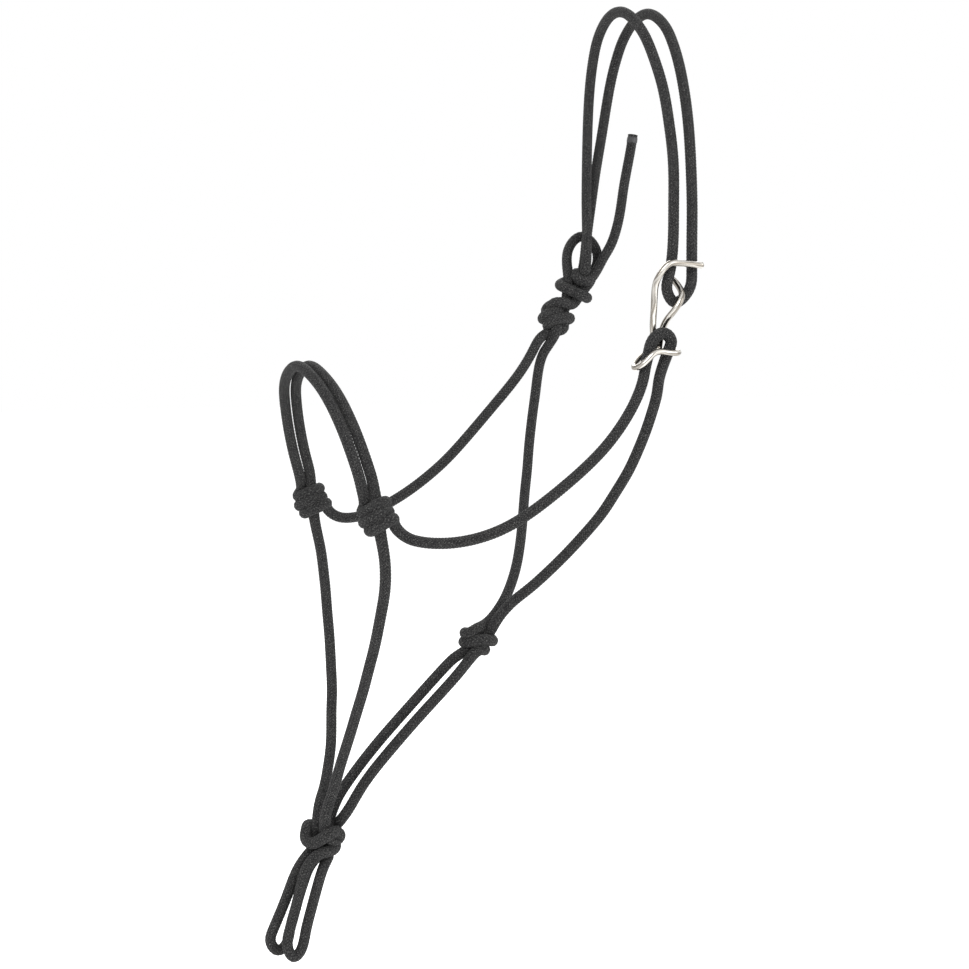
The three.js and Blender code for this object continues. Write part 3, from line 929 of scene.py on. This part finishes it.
def wire_piece(name, points, diameter, node):
    """A bent wire with rounded ends: over e from 0 at the end to 1, the radius is its full size times
    the square root of 1 - (1 - e)^2, a quarter ellipse."""
    line = smooth_line(points, WIRE_STEP)
    along = lengths_along(line)
    from_end = np.minimum(along, along[-1] - along) / (diameter * WIRE_END)
    radius = diameter / 2 * np.sqrt(np.clip(1 - (1 - np.clip(from_end, SMALLEST_END, 1)) ** 2, 0, 1))
    vertices, faces, uv = tube_mesh(line, radius[:, None], WIRE_SIDES)
    piece = new_piece(name, vertices, faces, NICKEL_FINISH, uv)
    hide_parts(node)
    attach(piece, "buckle")


def build_metal():
    wire_piece("buckle_hook_wire", HOOK, WIRE, "buckle_hook")
    wire_piece("buckle_collar_wire", COLLAR, RING_WIRE, "buckle_collar")
    for slot in bpy.data.objects["tail_tip"].material_slots:
        slot.material = SEALED_FINISH


FLOOR_LEVEL = -0.86
FLOOR_REACH = 12.0
PANELS = (
    ("key_panel", (-1.6, -1.6, 1.2), 1.4, 42),
    ("fill_panel", (1.2, -1.8, 0.2), 1.6, 18),
    ("back_panel", (0.6, 1.8, 1.0), 1.4, 26),
)  # name, place, size in metres, power in watts


def add_studio():
    """A pale floor well below the hanging halter, a white surround and three soft panels."""
    finish = Tree("pale_floor").finish(
        Base_Color=(0.93, 0.93, 0.93, 1), Roughness=0.9, Specular_IOR_Level=0.0,
        Emission_Color=(1, 1, 1, 1), Emission_Strength=0.2,
    )
    mesh = bpy.data.meshes.new("floor")
    around = ((-1, -1), (1, -1), (1, 1), (-1, 1))
    corners = [(x * FLOOR_REACH, y * FLOOR_REACH, FLOOR_LEVEL) for x, y in around]
    mesh.from_pydata(corners, [], [(0, 1, 2, 3)])
    mesh.materials.append(finish)
    floor = bpy.data.objects.new("floor", mesh)
    bpy.context.collection.objects.link(floor)
    world = bpy.data.worlds.new("surround")
    world.use_nodes = True
    background = world.node_tree.nodes["Background"]
    background.inputs["Color"].default_value = (1.0, 1.0, 1.0, 1)
    background.inputs["Strength"].default_value = 1.0
    bpy.context.scene.world = world
    bpy.context.scene.view_settings.view_transform = "Standard"
    for name, place, size, power in PANELS:
        data = bpy.data.lights.new(name, "AREA")
        data.size = size
        data.energy = power
        light = bpy.data.objects.new(name, data)
        light.location = place
        light.rotation_euler = (Vector(place) - LOOK_AT).to_track_quat("Z", "Y").to_euler()
        bpy.context.collection.objects.link(light)


def build_halter():
    """Settles the knots between the runs, rounds off where they meet, then makes a piece of each."""
    lines = rope_lines()
    bend = sheet_bend(lines)
    ease_joins(lines, bend)
    knots = {
        "nose_knot_near": nose_knot(lines, "near", 0),
        "nose_knot_far": nose_knot(lines, "far", -2.5),
        "throat_knot": throat_knot(lines),
        "fiador_knot": fiador_knot(lines),
        "cheek_knot_far": cheek_knot(lines, bend),
    }
    for strands in knots.values():
        ease_joins(lines, strands)
    bend[0][2], bend[1][2] = lines["leg_left"], lines["leg_right"]
    knots["sheet_bend"] = bend
    build_ropes(lines)
    for name, strands in knots.items():
        build_knot(name, strands)


add_camera()
build_halter()
build_metal()
add_studio()
